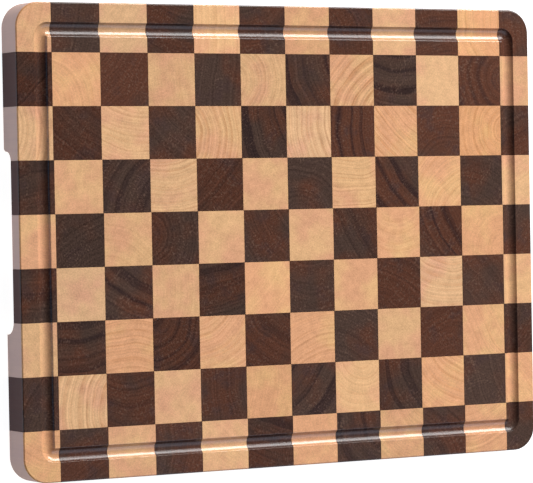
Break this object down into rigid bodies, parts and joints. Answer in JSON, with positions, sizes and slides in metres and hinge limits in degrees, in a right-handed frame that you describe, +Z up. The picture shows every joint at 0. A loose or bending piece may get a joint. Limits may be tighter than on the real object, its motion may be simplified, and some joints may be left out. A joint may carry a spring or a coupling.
{
  "type": "cutting board",
  "caption": "Rectangular end-grain wooden cutting board with a two-tone checkerboard face, rounded corners, a perimeter juice groove and undercut finger grips on its short sides.",
  "frame": {"origin": "middle of the underside, on the surface the board lies on", "axes": "+Z up, out of the grooved cutting face; +X along the long side; +Y along the short side"},
  "size_m": [0.457, 0.356, 0.0254],
  "materials": {
    "maple": "pale end grain with faint growth rings, oiled to a satin",
    "walnut": "dark brown end grain with open pores and darker rings, oiled to a satin",
    "mixed_strip": "strip of glued maple and walnut end-grain blocks, oiled to a satin"
  },
  "bodies": {
    "root": {"row_1_maple_01": "maple", "row_1_maple_03": "maple", "row_1_maple_05": "maple", "row_1_maple_07": "maple", "row_1_maple_09": "maple", "row_1_maple_11": "maple", "row_1_walnut_02": "walnut", "row_1_walnut_04": "walnut", "row_1_walnut_06": "walnut", "row_1_walnut_08": "walnut", "row_1_walnut_10": "walnut", "row_1_walnut_12": "walnut", "row_2_core_strip": "mixed_strip", "row_2_maple_02": "maple", "row_2_maple_12": "maple", "row_2_walnut_01": "walnut", "row_2_walnut_11": "walnut", "row_3_core_strip": "mixed_strip", "row_3_maple_01": "maple", "row_3_maple_11": "maple", "row_3_walnut_02": "walnut", "row_3_walnut_12": "walnut", "row_4_core_strip": "mixed_strip", "row_4_maple_02": "maple", "row_4_maple_12": "maple", "row_4_walnut_01": "walnut", "row_4_walnut_11": "walnut", "row_5_core_strip": "mixed_strip", "row_5_maple_01": "maple", "row_5_maple_11": "maple", "row_5_walnut_02": "walnut", "row_5_walnut_12": "walnut", "row_6_core_strip": "mixed_strip", "row_6_maple_02": "maple", "row_6_maple_12": "maple", "row_6_walnut_01": "walnut", "row_6_walnut_11": "walnut", "row_7_core_strip": "mixed_strip", "row_7_maple_01": "maple", "row_7_maple_11": "maple", "row_7_walnut_02": "walnut", "row_7_walnut_12": "walnut", "row_8_core_strip": "mixed_strip", "row_8_maple_02": "maple", "row_8_maple_12": "maple", "row_8_walnut_01": "walnut", "row_8_walnut_11": "walnut", "row_9_maple_01": "maple", "row_9_maple_03": "maple", "row_9_maple_05": "maple", "row_9_maple_07": "maple", "row_9_maple_09": "maple", "row_9_maple_11": "maple", "row_9_walnut_02": "walnut", "row_9_walnut_04": "walnut", "row_9_walnut_06": "walnut", "row_9_walnut_08": "walnut", "row_9_walnut_10": "walnut", "row_9_walnut_12": "walnut"}
  },
  "joints": []
}
